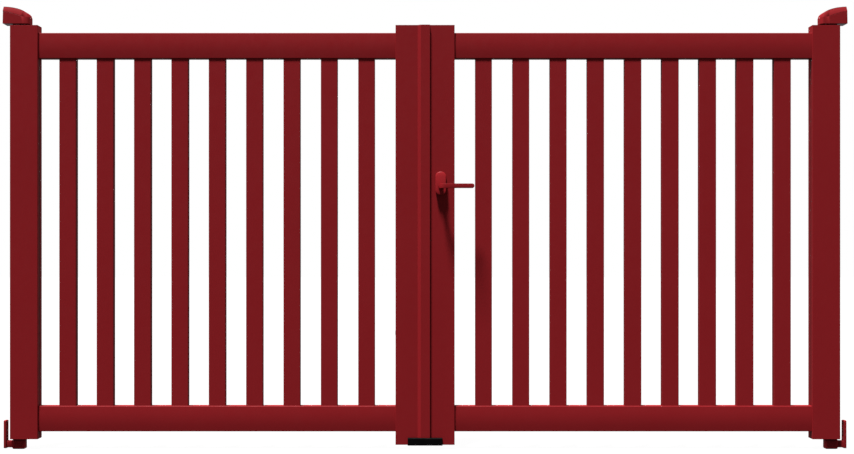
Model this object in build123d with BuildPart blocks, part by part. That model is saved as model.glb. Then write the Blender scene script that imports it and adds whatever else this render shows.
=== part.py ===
from build123d import *
import math
import os

# Double-leaf slatted driveway gate, hung between two pillars.
# Millimetres. X runs across the opening, -Y faces the street, +Z is up.
# X = 0 is the middle of the opening, Y = 0 the mid-plane of the leaves and
# Z = 0 the foot of the bottom pivot blocks. Left and right are as seen from the street.

os.makedirs("parts", exist_ok=True)

LEFT, RIGHT = -1, 1

# ---------------------------------------------------------------- driving sizes

# opening and clearances
opening_width = 3045.0  # from pillar face to pillar face
pillar_gap = 26.0  # pillar face to hinge stile
meeting_gap = 13.0  # between the two meeting stiles
lap_clearance = 1.0  # between a lapping piece and the leaf that it covers
slip = 0.1  # between a plug or slide and what it goes into, each side
running_fit = 0.05  # radial clearance of a shaft in its bearing

# stiles
hinge_stile_height = 1493.0
stile_width = 100.0
stile_depth = 50.0
stile_wall = 2.5
stile_corner = 1.5
meeting_stile_drop = 20.0  # how far a meeting stile reaches below a hinge stile
cap_plug = 12.0  # depth of a plain end cap in the tube

# rails and slats
rail_height = 92.0
rail_inset = 27.0  # from the end of the hinge stile to the rail
rail_lip = 2.5  # rail edge in front of the slat faces
rail_crown = 2.1  # swell of the rail's front and back
rail_wall = 2.0
rail_corner = 2.0
slat_count = 9
slat_width = 60.0
slat_depth = 29.0
slat_wall = 1.5
slat_corner = 1.2
slat_entry = 15.0  # length of slat inside each rail

# pivots
pivot_inset = 27.5  # stile outer face to pivot axis
pin_radius = 8.0
pin_entry = 35.0  # length of pin inside the leaf
pin_head_radius = 12.0
pin_head = 5.0
pivot_plug = 45.0  # depth of a pivot cap in the tube
collar_margin = 1.5  # from a collar's edge to the stile's front and back
top_collar = 5.0
bottom_collar = 3.6
thrust_gap = 0.5  # between a collar and what it turns on

# top hinge
top_plate_thickness = 6.0
top_plate_height = 34.0
top_arm_thickness = 8.0
top_arm_depth = 36.0
top_bolt_spacing = 20.0
top_bolt_radius = 4.5
top_bolt_height = 20.0  # above the underside of the arm
cover_length = 95.0
cover_depth = 50.0
cover_height = 61.5
cover_brow = 44.0  # height of the ellipse that forms the cover's top
cover_reach = 102.0  # its length
cover_shoulder = 26.0  # height of the straight side below the sloped one
cover_slope = 12.5  # lean of the sloped side, in degrees
cover_wall = 2.5
cover_corner = 10.5  # upright edges at the free end

# bottom hinge
bracket_plate_thickness = 8.4
bracket_plate_depth = 28.0
bracket_plate_height = 100.0
bracket_plate_foot = 2.6
bracket_corner = 3.0
bracket_bolt_radius = 4.5
bracket_bolt_spacing = 40.0
bracket_bolt_margin = 16.0  # plate top to upper bolt
arm_height = 23.0
arm_depth = 22.0
arm_foot = 5.6
arm_overreach = 16.0  # past the pivot axis
block_width = 46.0
block_depth = 34.0
block_height = 32.9
block_corner = 8.0
block_edge = 5.0
pin_foot = 8.0

# cover strip and stop over the meeting gap
strip_on_stile = 21.0
strip_lap = 11.0  # over the other leaf's stile
strip_proud = 8.0
strip_slope = 12.5
strip_wall = 2.0
stop_width = 125.0
stop_height = 26.0
stop_proud = 20.0
stop_edge = 2.0

# handle
handle_height = 947.5
plate_width = 38.0
plate_above = 53.5
plate_below = 31.0
plate_thickness = 17.0  # at its foot
plate_corner = 17.0
plate_edge = 2.5
plate_fall = 9.5  # how far the face curves back from foot to top
plate_screw_above = 42.0
plate_screw_below = 22.0
plate_screw_seat = 3.0  # plate left under the screw's head, yard side
plate_screw_blind = 4.0  # thread in the street-side plate
neck_radius = 9.0
neck_play = 1.0  # round a neck, in the stile's wall
lever_reach = 119.0  # from the spindle axis to the tip, street side
yard_lever_reach = 46.0  # yard side, short enough to stay behind the stile
lever_height = 16.0
lever_thickness = 12.0
lever_stand_off = 55.0  # stile face to the middle of the grip
lever_bend = 16.0
spindle_size = 8.0
spindle_entry = 26.0  # length of spindle inside each neck, past the stile face
handle_screw_radius = 2.5
handle_screw_head = 4.5

# lock
case_depth = 85.0
case_thickness = 15.0
case_above = 52.0
case_below = 35.0
case_wall = 1.5
forend_width = 22.0
forend_thickness = 2.5
forend_corner = 3.0
forend_above = 84.0
forend_below = 66.0
forend_screw_margin = 8.0
follower_radius = 10.0
journal_radius = 8.0
latch_travel = 17.5
lever_turn = 45.0  # degrees that withdraw the latch
latch_thickness = 12.0
latch_foot = 10.0  # above the spindle axis
latch_height = 24.0
latch_body = 24.0  # latch head inside the stile face
latch_bevel = 10.0
tail_height = 8.0
follower_arm_width = 6.0
lug_width = 8.0
lug_foot = 14.0

# strike
strike_thickness = 2.0
strike_width = 25.0
strike_end = 17.0  # plate beyond the slot, each end
strike_corner = 3.0
strike_screw_margin = 8.0
strike_play = 1.0

# drop bolt
rod_radius = 8.0
rod_foot = 5.0
rod_length = 425.0
rod_stand_off = 15.0  # stile face to rod axis
nose_radius = 7.0
nose_length = 30.0
nose_edge = 2.0
grip_radius = 6.0
grip_length = 42.0
knob_radius = 11.0
knob_length = 20.0
knob_edge = 4.0
drop_travel = 60.0
guide_width = 64.0
guide_height = 26.0
guide_base = 3.0
guide_block = 30.0
guide_low = 62.0
guide_clearance = 4.0  # under the grip with the bolt down
guide_screw_spacing = 48.0
screw_radius = 2.5
screw_head_radius = 4.4
screw_length = 14.0
sink_angle = 90.0

# --------------------------------------------------------------- derived places

pillar_face = opening_width / 2
leaf_outer = pillar_face - pillar_gap
leaf_inner = meeting_gap / 2
rail_outer = leaf_outer - stile_width
rail_inner = leaf_inner + stile_width
rail_length = rail_outer - rail_inner
slat_gap = (rail_length - slat_count * slat_width) / (slat_count + 1)

collar_radius = stile_depth / 2 - collar_margin
hinge_stile_bottom = block_height + thrust_gap + bottom_collar
stile_top = hinge_stile_bottom + hinge_stile_height
meeting_stile_bottom = hinge_stile_bottom - meeting_stile_drop
bottom_rail_z = hinge_stile_bottom + rail_inset
top_rail_z = stile_top - rail_inset - rail_height
rail_edge_depth = slat_depth + 2 * rail_lip
slat_bottom = bottom_rail_z + rail_height - slat_entry
slat_top = top_rail_z + slat_entry

stile_front = stile_depth / 2
stile_centre = leaf_inner + stile_width / 2
pivot_x = leaf_outer - pivot_inset
top_arm_z = stile_top + top_collar + thrust_gap
cover_bottom = top_arm_z
grip_z = rod_foot + rod_length - grip_radius - rod_radius
guide_high = grip_z - grip_radius - drop_travel - guide_clearance - guide_height
rod_y = stile_front + rod_stand_off
latch_z = handle_height + latch_foot
latch_tip = leaf_inner - forend_thickness - latch_travel
latch_ratio = latch_travel / math.radians(lever_turn)
plug_width = stile_width - 2 * stile_wall - 2 * slip
plug_depth = stile_depth - 2 * stile_wall - 2 * slip
stop_top = meeting_stile_bottom + stop_height
bracket_top = bracket_plate_foot + bracket_plate_height
bracket_bolt_levels = (
    bracket_top - bracket_bolt_margin,
    bracket_top - bracket_bolt_margin - bracket_bolt_spacing,
)


# -------------------------------------------------------------------- helpers


def finish(piece, name):
    """Label a finished piece and write its file."""
    piece.part.label = name
    export_step(piece.part, f"parts/{name}.step")


def tube_section(width, depth, wall, corner):
    """Hollow rectangular section, drawn in the open sketch."""
    RectangleRounded(width, depth, corner)
    Rectangle(width - 2 * wall, depth - 2 * wall, mode=Mode.SUBTRACT)


def sunk_screws(places):
    """Countersunk screws, one at each plane, its head flush with the plane."""
    head = (screw_head_radius - screw_radius) / math.tan(math.radians(sink_angle / 2))
    below = (Align.CENTER, Align.CENTER, Align.MAX)
    with Locations(*places):
        Cone(screw_radius, screw_head_radius, head, align=below)
        Cylinder(screw_radius, screw_length, align=below)


def slat_centres(side):
    """Middle of each slat, counted from left to right."""
    first = rail_inner + slat_gap + slat_width / 2
    middles = [side * (first + n * (slat_width + slat_gap)) for n in range(slat_count)]
    return sorted(middles)


# ---------------------------------------------------------- frame of each leaf


def hinge_stile(side):
    """Upright tube that carries the pivots."""
    with BuildPart() as stile:
        with BuildSketch(Plane.XY.offset(hinge_stile_bottom)):
            with Locations((side * (leaf_outer - stile_width / 2), 0)):
                tube_section(stile_width, stile_depth, stile_wall, stile_corner)
        extrude(amount=hinge_stile_height)
    return stile


def rail(side, foot, slot_level, slot_depth):
    """Cross tube with swelled faces, punched for the slats on one edge."""
    start = min(side * rail_inner, side * rail_outer)
    edge, crown = rail_edge_depth / 2, rail_edge_depth / 2 + rail_crown
    low, high = foot, foot + rail_height
    with BuildPart() as bar:
        with BuildSketch(Plane.YZ.offset(start)):
            with BuildLine():
                Line((-edge, high), (edge, high))
                ThreePointArc((edge, high), (crown, (low + high) / 2), (edge, low))
                Line((edge, low), (-edge, low))
                ThreePointArc((-edge, low), (-crown, (low + high) / 2), (-edge, high))
            outline = make_face()
            fillet(outline.vertices(), rail_corner)
            offset(amount=-rail_wall, mode=Mode.SUBTRACT)
        extrude(amount=rail_length)
        with BuildSketch(Plane.XY.offset(slot_level)):
            with Locations(*[(x, 0) for x in slat_centres(side)]):
                Rectangle(slat_width + 2 * slip, slat_depth + 2 * slip)
        extrude(amount=slot_depth, mode=Mode.SUBTRACT)
    return bar


def slat(centre_x):
    """Upright infill tube."""
    with BuildPart() as bar:
        with BuildSketch(Plane.XY.offset(slat_bottom)):
            with Locations((centre_x, 0)):
                tube_section(slat_width, slat_depth, slat_wall, slat_corner)
        extrude(amount=slat_top - slat_bottom)
    return bar


def pivot_cap(side, stile_end, outward, collar):
    """Plug in a hinge stile's end, with the collar and the bore that the pin turns in."""
    with BuildPart() as cap:
        with BuildSketch(Plane.XY.offset(stile_end)):
            with Locations((side * (leaf_outer - stile_width / 2), 0)):
                Rectangle(plug_width, plug_depth)
        extrude(amount=-outward * pivot_plug)
        with BuildSketch(Plane.XY.offset(stile_end)):
            with Locations((side * pivot_x, 0)):
                Circle(collar_radius)
        extrude(amount=outward * collar)
        with BuildSketch(Plane.XY.offset(stile_end + outward * collar)):
            with Locations((side * pivot_x, 0)):
                Circle(pin_radius + running_fit)
        extrude(amount=-outward * (collar + pin_entry + thrust_gap), mode=Mode.SUBTRACT)
    return cap


def meeting_stile_caps(side):
    """The two plain plugs of a meeting stile, flush with its ends."""
    with BuildPart() as caps:
        for level, inward in ((meeting_stile_bottom, 1), (stile_top, -1)):
            with BuildSketch(Plane.XY.offset(level)):
                with Locations((side * stile_centre, 0)):
                    Rectangle(plug_width, plug_depth)
            extrude(amount=inward * cap_plug)
    return caps


for word, side in (("left", LEFT), ("right", RIGHT)):
    finish(hinge_stile(side), f"{word}_hinge_stile")
    punched = bottom_rail_z + rail_height
    finish(rail(side, bottom_rail_z, punched, -slat_entry), f"{word}_bottom_rail")
    finish(rail(side, top_rail_z, top_rail_z, slat_entry), f"{word}_top_rail")
    for number, centre_x in enumerate(slat_centres(side), start=1):
        finish(slat(centre_x), f"{word}_slat_{number}")
    finish(pivot_cap(side, stile_top, 1, top_collar), f"{word}_top_pivot_cap")
    finish(pivot_cap(side, hinge_stile_bottom, -1, bottom_collar), f"{word}_bottom_pivot_cap")
    finish(meeting_stile_caps(side), f"{word}_meeting_stile_caps")

# ------------------------------------------------------------- meeting stiles

strike_slot_width = latch_thickness + 2 * strike_play
strike_slot_height = latch_height + 2 * strike_play
strike_middle = latch_z + latch_height / 2
strike_height = strike_slot_height + 2 * strike_end
strike_screw_levels = (
    strike_middle - strike_height / 2 + strike_screw_margin,
    strike_middle + strike_height / 2 - strike_screw_margin,
)
guide_middles = (guide_low + guide_height / 2, guide_high + guide_height / 2)
guide_screw_places = [
    (LEFT * stile_centre + step, level)
    for level in guide_middles
    for step in (-guide_screw_spacing / 2, guide_screw_spacing / 2)
]

with BuildPart() as left_meeting_stile:
    with BuildSketch(Plane.XY.offset(meeting_stile_bottom)):
        with Locations((LEFT * stile_centre, 0)):
            tube_section(stile_width, stile_depth, stile_wall, stile_corner)
    extrude(amount=stile_top - meeting_stile_bottom)
    # slot for the latch, and holes for the strike's screws
    with BuildSketch(Plane.YZ.offset(-leaf_inner)):
        with Locations((0, strike_middle)):
            Rectangle(strike_slot_width, strike_slot_height)
        with Locations(*[(0, level) for level in strike_screw_levels]):
            Circle(screw_radius + slip)
    extrude(amount=-2 * stile_wall, mode=Mode.SUBTRACT)
    # holes for the screws of the drop bolt's guides
    with BuildSketch(Plane.XZ.offset(-stile_front)):
        with Locations(*guide_screw_places):
            Circle(screw_radius + slip)
    extrude(amount=2 * stile_wall, mode=Mode.SUBTRACT)
finish(left_meeting_stile, "left_meeting_stile")

forend_screw_levels = (
    handle_height - forend_below + forend_screw_margin,
    handle_height + forend_above - forend_screw_margin,
)
plate_screw_levels = (handle_height - plate_screw_below, handle_height + plate_screw_above)

with BuildPart() as right_meeting_stile:
    with BuildSketch(Plane.XY.offset(meeting_stile_bottom)):
        with Locations((stile_centre, 0)):
            tube_section(stile_width, stile_depth, stile_wall, stile_corner)
    extrude(amount=stile_top - meeting_stile_bottom)
    # slot for the lock case, and holes for the forend's screws
    with BuildSketch(Plane.YZ.offset(leaf_inner)):
        with Locations((0, handle_height + (case_above - case_below) / 2)):
            Rectangle(case_thickness + 2 * slip, case_above + case_below + 2 * slip)
        with Locations(*[(0, level) for level in forend_screw_levels]):
            Circle(screw_radius + slip)
    extrude(amount=2 * stile_wall, mode=Mode.SUBTRACT)
    # holes for the spindle and the screws that clamp the handle plates
    with BuildSketch(Plane.XZ.offset(-stile_front)):
        with Locations((stile_centre, handle_height)):
            Circle(neck_radius + neck_play)
        with Locations(*[(stile_centre, level) for level in plate_screw_levels]):
            Circle(handle_screw_radius + slip)
    extrude(amount=stile_depth, mode=Mode.SUBTRACT)
finish(right_meeting_stile, "right_meeting_stile")

# ------------------------------------- cover strip, stop and strike, left leaf

strip_left = -leaf_inner - strip_on_stile
strip_right = leaf_inner + strip_lap
with BuildPart() as cover_strip:
    with BuildSketch(Plane.XY.offset(stop_top)):
        with BuildLine():
            Polyline(
                (strip_left, -stile_front),
                (strip_left + strip_slope, -stile_front - strip_proud),
                (strip_right, -stile_front - strip_proud),
                (strip_right, -stile_front - lap_clearance),
                (-leaf_inner, -stile_front - lap_clearance),
                (-leaf_inner, -stile_front),
                close=True,
            )
        make_face()
        offset(amount=-strip_wall, mode=Mode.SUBTRACT, kind=Kind.INTERSECTION)
    extrude(amount=stile_top - stop_top)
finish(cover_strip, "cover_strip")

with BuildPart() as stop_block:
    with BuildSketch(Plane.XY.offset(meeting_stile_bottom)):
        with BuildLine():
            Polyline(
                (-stop_width / 2, -stile_front),
                (-stop_width / 2, -stile_front - stop_proud),
                (stop_width / 2, -stile_front - stop_proud),
                (stop_width / 2, -stile_front - lap_clearance),
                (-leaf_inner, -stile_front - lap_clearance),
                (-leaf_inner, -stile_front),
                close=True,
            )
        make_face()
    extrude(amount=stop_height)
    street_face = stop_block.faces().sort_by(Axis.Y)[0]
    fillet(street_face.edges(), stop_edge)
finish(stop_block, "stop_block")

strike_face = -leaf_inner + strike_thickness
strike_screw_planes = [
    Plane(origin=(strike_face, 0, level), z_dir=(1, 0, 0)) for level in strike_screw_levels
]
with BuildPart() as strike_plate:
    with BuildSketch(Plane.YZ.offset(-leaf_inner)):
        with Locations((0, strike_middle)):
            RectangleRounded(strike_width, strike_height, strike_corner)
            Rectangle(strike_slot_width, strike_slot_height, mode=Mode.SUBTRACT)
    extrude(amount=strike_thickness)
    with Locations(*strike_screw_planes):
        CounterSinkHole(
            screw_radius + slip, screw_head_radius, screw_length, counter_sink_angle=sink_angle
        )
finish(strike_plate, "strike_plate")

with BuildPart() as strike_screws:
    sunk_screws(strike_screw_planes)
finish(strike_screws, "strike_screws")

# ------------------------------------------------------------------ top hinges


def top_hinge_bracket(side):
    """Steel plate on the pillar with an arm over the leaf's upper pivot."""
    plate_face = pillar_face - top_plate_thickness
    with BuildPart() as bracket:
        with BuildSketch(Plane.YZ.offset(side * pillar_face)):
            with Locations((0, top_arm_z + top_plate_height / 2)):
                Rectangle(top_arm_depth, top_plate_height)
            with Locations((0, top_arm_z + top_bolt_height)):
                with GridLocations(top_bolt_spacing, 0, 2, 1):
                    Circle(top_bolt_radius, mode=Mode.SUBTRACT)
        extrude(amount=-side * top_plate_thickness)
        with BuildSketch(Plane.XY.offset(top_arm_z)):
            with Locations((side * (plate_face + pivot_x) / 2, 0)):
                Rectangle(plate_face - pivot_x, top_arm_depth)
            with Locations((side * pivot_x, 0)):
                Circle(top_arm_depth / 2)
                Circle(pin_radius, mode=Mode.SUBTRACT)
        extrude(amount=top_arm_thickness)
    return bracket


def cover_solid(side, inset):
    """The cover's outer shape, or with an inset the hollow inside it.

    The hollow runs out by the inset through the underside and the pillar end.
    """
    foot = cover_bottom - inset
    back = pillar_face + inset
    nose = pillar_face - cover_length + inset
    beyond = pillar_face + cover_height  # keeps the lean off the pillar end
    tip_angle = math.degrees(math.acos(cover_length / cover_reach))
    with BuildPart() as block:
        with BuildSketch(Plane.XY.offset(foot)) as plan:
            with Locations((side * (nose + beyond) / 2, 0)):
                Rectangle(beyond - nose, cover_depth - 2 * inset)
            free_end = plan.vertices().group_by(Axis.X)[0 if side == RIGHT else -1]
            fillet(free_end, cover_corner - inset)
        extrude(amount=cover_shoulder + inset)
        shoulder = block.faces().sort_by(Axis.Z)[-1]
        extrude(shoulder, amount=cover_height - cover_shoulder - inset, taper=cover_slope)
        with BuildSketch(Plane.XZ):
            with BuildLine():
                crown = EllipticalCenterArc(
                    (side * back, cover_bottom + cover_height - inset - cover_brow),
                    cover_reach,
                    cover_brow,
                    start_angle=90 if side == RIGHT else tip_angle,
                    arc_size=90 - tip_angle,
                )
                tip, crest = sorted((crown @ 0, crown @ 1), key=lambda point: side * point.X)
                Polyline(crest, (side * back, foot), (tip.X, foot), tip)
            make_face()
        extrude(amount=cover_depth, both=True, mode=Mode.INTERSECT)
    return block.part


def top_hinge_cover(side):
    """Cap that hides the top bracket, open underneath and towards the pillar."""
    with BuildPart() as cover:
        add(cover_solid(side, 0))
        add(cover_solid(side, cover_wall), mode=Mode.SUBTRACT)
    return cover


# --------------------------------------------------------------- bottom hinges


def arm_sketch(side, allowance):
    """The bracket arm's plan, drawn in the open sketch."""
    start = pillar_face - bracket_plate_thickness
    end = pivot_x - arm_overreach - allowance
    with Locations((side * (start + end) / 2, 0)):
        Rectangle(start - end, arm_depth + 2 * allowance)


def bottom_hinge_bracket(side):
    """Steel plate on the pillar with an arm that holds the pivot block."""
    with BuildPart() as bracket:
        with BuildSketch(Plane.YZ.offset(side * pillar_face)):
            with Locations((0, bracket_plate_foot + bracket_plate_height / 2)):
                RectangleRounded(bracket_plate_depth, bracket_plate_height, bracket_corner)
            for bolt_level in bracket_bolt_levels:
                with Locations((0, bolt_level)):
                    Circle(bracket_bolt_radius, mode=Mode.SUBTRACT)
        extrude(amount=-side * bracket_plate_thickness)
        with BuildSketch(Plane.XY.offset(arm_foot)):
            arm_sketch(side, 0)
            with Locations((side * pivot_x, 0)):
                Circle(pin_radius, mode=Mode.SUBTRACT)
        extrude(amount=arm_height)
    return bracket


def bottom_pivot_block(side):
    """Moulded block round the end of the arm, on which the leaf turns."""
    with BuildPart() as block:
        with BuildSketch(Plane.XY):
            with Locations((side * pivot_x, 0)):
                RectangleRounded(block_width, block_depth, block_corner)
        extrude(amount=block_height)
        fillet(block.faces().sort_by(Axis.Z)[0].edges(), block_edge)
        with BuildSketch(Plane.XY.offset(arm_foot - slip)):
            arm_sketch(side, slip)
        extrude(amount=arm_height + 2 * slip, mode=Mode.SUBTRACT)
        with BuildSketch(Plane.XY.offset(pin_foot)):
            with Locations((side * pivot_x, 0)):
                Circle(pin_radius)
        extrude(amount=block_height, mode=Mode.SUBTRACT)
    return block


for word, side in (("left", LEFT), ("right", RIGHT)):
    finish(top_hinge_bracket(side), f"{word}_top_hinge_bracket")
    finish(top_hinge_cover(side), f"{word}_top_hinge_cover")
    finish(bottom_hinge_bracket(side), f"{word}_bottom_hinge_bracket")
    finish(bottom_pivot_block(side), f"{word}_bottom_pivot_block")

with BuildPart() as top_hinge_pins:
    arm_top = top_arm_z + top_arm_thickness
    with BuildSketch(Plane.XY.offset(stile_top - pin_entry)):
        with Locations((-pivot_x, 0), (pivot_x, 0)):
            Circle(pin_radius)
    extrude(amount=arm_top - stile_top + pin_entry)
    with BuildSketch(Plane.XY.offset(arm_top)):
        with Locations((-pivot_x, 0), (pivot_x, 0)):
            Circle(pin_head_radius)
    extrude(amount=pin_head)
finish(top_hinge_pins, "top_hinge_pins")

with BuildPart() as bottom_hinge_pins:
    with BuildSketch(Plane.XY.offset(pin_foot)):
        with Locations((-pivot_x, 0), (pivot_x, 0)):
            Circle(pin_radius)
    extrude(amount=hinge_stile_bottom + pin_entry - pin_foot)
finish(bottom_hinge_pins, "bottom_hinge_pins")

# ------------------------------------------------------------------- the lock

forend_face = leaf_inner - forend_thickness
forend_screw_planes = [
    Plane(origin=(forend_face, 0, level), z_dir=(-1, 0, 0)) for level in forend_screw_levels
]

with BuildPart() as lock_case:
    with BuildSketch(Plane.YZ.offset(leaf_inner)):
        with Locations((0, handle_height + (forend_above - forend_below) / 2)):
            RectangleRounded(forend_width, forend_above + forend_below, forend_corner)
    extrude(amount=-forend_thickness)
    case_middle = handle_height + (case_above - case_below) / 2
    with BuildSketch(Plane.YZ.offset(leaf_inner)):
        with Locations((0, case_middle)):
            Rectangle(case_thickness, case_above + case_below)
    extrude(amount=case_depth)
    # hollow for the works
    with BuildSketch(Plane.YZ.offset(leaf_inner + case_wall)):
        with Locations((0, case_middle)):
            Rectangle(case_thickness - 2 * case_wall, case_above + case_below - 2 * case_wall)
    extrude(amount=case_depth - 2 * case_wall, mode=Mode.SUBTRACT)
    # mouth for the latch
    with BuildSketch(Plane.YZ.offset(forend_face)):
        with Locations((0, latch_z + latch_height / 2)):
            Rectangle(latch_thickness + 2 * slip, latch_height + 2 * slip)
    extrude(amount=forend_thickness + 2 * case_wall, mode=Mode.SUBTRACT)
    # bearings of the follower and holes for the screws of the handle plates
    with BuildSketch(Plane.XZ.offset(-case_thickness / 2)):
        with Locations((stile_centre, handle_height)):
            Circle(journal_radius + running_fit)
        with Locations(*[(stile_centre, level) for level in plate_screw_levels]):
            Circle(handle_screw_radius + slip)
    extrude(amount=case_thickness, mode=Mode.SUBTRACT)
    with Locations(*forend_screw_planes):
        CounterSinkHole(
            screw_radius + slip, screw_head_radius, screw_length, counter_sink_angle=sink_angle
        )
finish(lock_case, "lock_case")

with BuildPart() as forend_screws:
    sunk_screws(forend_screw_planes)
finish(forend_screws, "forend_screws")

# The follower's arm stands up beside the latch's lug. Its tip moves less than the
# latch at every angle, so the two never meet closer than at rest.
follower_inside = case_thickness - 2 * case_wall - 2 * slip
arm_tip_radius = follower_arm_width / 2
arm_tip_height = latch_ratio - arm_tip_radius

with BuildPart() as lock_follower:
    with BuildSketch(Plane.XZ.offset(-follower_inside / 2)):
        with Locations((stile_centre, handle_height)):
            Circle(follower_radius)
        with Locations((stile_centre, handle_height + arm_tip_height / 2)):
            Rectangle(follower_arm_width, arm_tip_height)
        with Locations((stile_centre, handle_height + arm_tip_height)):
            Circle(arm_tip_radius)
    extrude(amount=follower_inside)
    with BuildSketch(Plane.XZ.offset(-case_thickness / 2)):
        with Locations((stile_centre, handle_height)):
            Circle(journal_radius)
    extrude(amount=case_thickness)
    with BuildSketch(Plane.XZ.offset(-case_thickness / 2)):
        with Locations((stile_centre, handle_height)):
            Rectangle(spindle_size + 2 * slip, spindle_size + 2 * slip)
    extrude(amount=case_thickness, mode=Mode.SUBTRACT)
finish(lock_follower, "lock_follower")

lug_start = stile_centre + arm_tip_radius + 2 * slip
tail_foot = latch_z + latch_height - tail_height
with BuildPart() as latch_bolt:
    inside_case = latch_thickness - 2 * case_wall
    with BuildSketch(Plane.XZ.offset(-latch_thickness / 2)):
        with Locations(((latch_tip + leaf_inner + latch_body) / 2, latch_z + latch_height / 2)):
            Rectangle(leaf_inner + latch_body - latch_tip, latch_height)
    extrude(amount=latch_thickness)
    tip_edge = (
        latch_bolt.edges().filter_by(Axis.Z).group_by(Axis.X)[0].sort_by(Axis.Y)[0]
    )
    chamfer(tip_edge, latch_bevel)
    with BuildSketch(Plane.XZ.offset(-inside_case / 2)):
        with Locations(
            ((leaf_inner + latch_body + lug_start + lug_width) / 2, tail_foot + tail_height / 2)
        ):
            Rectangle(lug_start + lug_width - leaf_inner - latch_body, tail_height)
        lug_height = tail_foot + tail_height - handle_height - lug_foot
        with Locations((lug_start + lug_width / 2, handle_height + lug_foot + lug_height / 2)):
            Rectangle(lug_width, lug_height)
    extrude(amount=inside_case)
finish(latch_bolt, "latch_bolt")

# ---------------------------------------------------------------- the handles

# Each half of the handle set is the other half turned to the far side of the stile.
STREET, YARD = -1, 1


def face_plane(outward, distance):
    """Upright plane at a distance from the leaf's middle, facing away from it."""
    return Plane(
        origin=(stile_centre, outward * distance, handle_height),
        x_dir=(-outward, 0, 0),
        z_dir=(0, outward, 0),
    )


def plate_screw_grip(outward):
    """How deep a screw goes into a handle plate from the stile."""
    return plate_screw_seat if outward == YARD else plate_screw_blind


def handle_plate(outward):
    """Long plate with a curved face, bored for the lever's neck."""
    with BuildPart() as plate:
        with BuildSketch(face_plane(outward, stile_front)):
            with Locations((0, (plate_above - plate_below) / 2)):
                RectangleRounded(plate_width, plate_above + plate_below, plate_corner)
        blank = plate_thickness + plate_edge
        extrude(amount=blank)
        foot, top = handle_height - plate_below, handle_height + plate_above
        crest = stile_front + plate_thickness
        with BuildSketch(Plane.YZ.offset(stile_centre - plate_width)):
            with BuildLine():
                low_end, high_end = (outward * crest, foot), (outward * (crest - plate_fall), top)
                far = outward * (stile_front + blank + plate_edge)
                TangentArc(low_end, high_end, tangent=(0, 1))
                Polyline(high_end, (far, top), (far, foot), low_end)
            make_face()
        extrude(amount=2 * plate_width, mode=Mode.SUBTRACT)
        outer_face = plate.faces().sort_by(Axis.Y)[-1 if outward == YARD else 0]
        fillet(outer_face.edges(), plate_edge)
        with BuildSketch(face_plane(outward, stile_front)):
            Circle(neck_radius + running_fit)
        extrude(amount=plate_thickness, mode=Mode.SUBTRACT)
        with BuildSketch(face_plane(outward, stile_front)):
            with Locations((0, plate_screw_above), (0, -plate_screw_below)):
                Circle(handle_screw_radius)
        extrude(amount=plate_screw_grip(outward), mode=Mode.SUBTRACT)
        if outward == YARD:
            with BuildSketch(face_plane(outward, stile_front + plate_screw_seat)):
                with Locations((0, plate_screw_above), (0, -plate_screw_below)):
                    Circle(handle_screw_head)
            extrude(amount=plate_thickness, mode=Mode.SUBTRACT)
    return plate


def handle_lever(outward):
    """Neck on the spindle axis and a grip that points away from the meeting gap."""
    reach = yard_lever_reach if outward == YARD else lever_reach
    start = stile_front + slip
    bar_start = stile_front + plate_thickness + slip
    turn = stile_centre + lever_bend
    far = stile_front + lever_stand_off
    end = stile_centre + reach - lever_height / 2
    with BuildPart() as lever:
        with BuildSketch(Plane.XY.offset(handle_height)):
            with BuildLine():
                inner, outer = lever_bend - lever_thickness / 2, lever_bend + lever_thickness / 2
                near_y = outward * (far - lever_thickness / 2)
                far_y = outward * (far + lever_thickness / 2)
                bend_y = outward * (far - lever_bend)
                left, right = stile_centre - lever_thickness / 2, stile_centre + lever_thickness / 2
                Line((left, outward * bar_start), (left, bend_y))
                ThreePointArc(
                    (left, bend_y),
                    (turn - outer * math.sqrt(0.5), bend_y + outward * outer * math.sqrt(0.5)),
                    (turn, far_y),
                )
                Line((turn, far_y), (end, far_y))
                Line((end, far_y), (end, near_y))
                Line((end, near_y), (turn, near_y))
                ThreePointArc(
                    (turn, near_y),
                    (turn - inner * math.sqrt(0.5), bend_y + outward * inner * math.sqrt(0.5)),
                    (right, bend_y),
                )
                Line((right, bend_y), (right, outward * bar_start))
                Line((right, outward * bar_start), (left, outward * bar_start))
            make_face()
        extrude(amount=lever_height / 2, both=True)
        with BuildSketch(face_plane(outward, far - lever_thickness / 2)):
            with Locations((-outward * (reach - lever_height / 2), 0)):
                Circle(lever_height / 2)
        extrude(amount=lever_thickness)
        with BuildSketch(face_plane(outward, start)):
            Circle(neck_radius)
        extrude(amount=lever_stand_off - lever_bend)
        with BuildSketch(face_plane(outward, start)):
            Rectangle(spindle_size + 2 * slip, spindle_size + 2 * slip)
        extrude(amount=spindle_entry, mode=Mode.SUBTRACT)
    return lever


for word, outward in (("front", STREET), ("back", YARD)):
    finish(handle_plate(outward), f"handle_plate_{word}")
    finish(handle_lever(outward), f"handle_lever_{word}")

with BuildPart() as handle_spindle:
    with BuildSketch(Plane.XZ.offset(-stile_front - spindle_entry + slip)):
        with Locations((stile_centre, handle_height)):
            Rectangle(spindle_size, spindle_size)
    extrude(amount=2 * (stile_front + spindle_entry - slip))
finish(handle_spindle, "handle_spindle")

with BuildPart() as handle_screws:
    seat = stile_front + plate_screw_seat
    with BuildSketch(Plane.XZ.offset(-seat)):
        with Locations(*[(stile_centre, level) for level in plate_screw_levels]):
            Circle(handle_screw_radius)
    extrude(amount=seat + stile_front + plate_screw_blind)
    with BuildSketch(Plane.XZ.offset(-seat)):
        with Locations(*[(stile_centre, level) for level in plate_screw_levels]):
            Circle(handle_screw_head - slip)
    extrude(amount=-handle_screw_radius)
finish(handle_screws, "handle_screws")

# ------------------------------------------------ drop bolt of the left leaf

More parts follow.
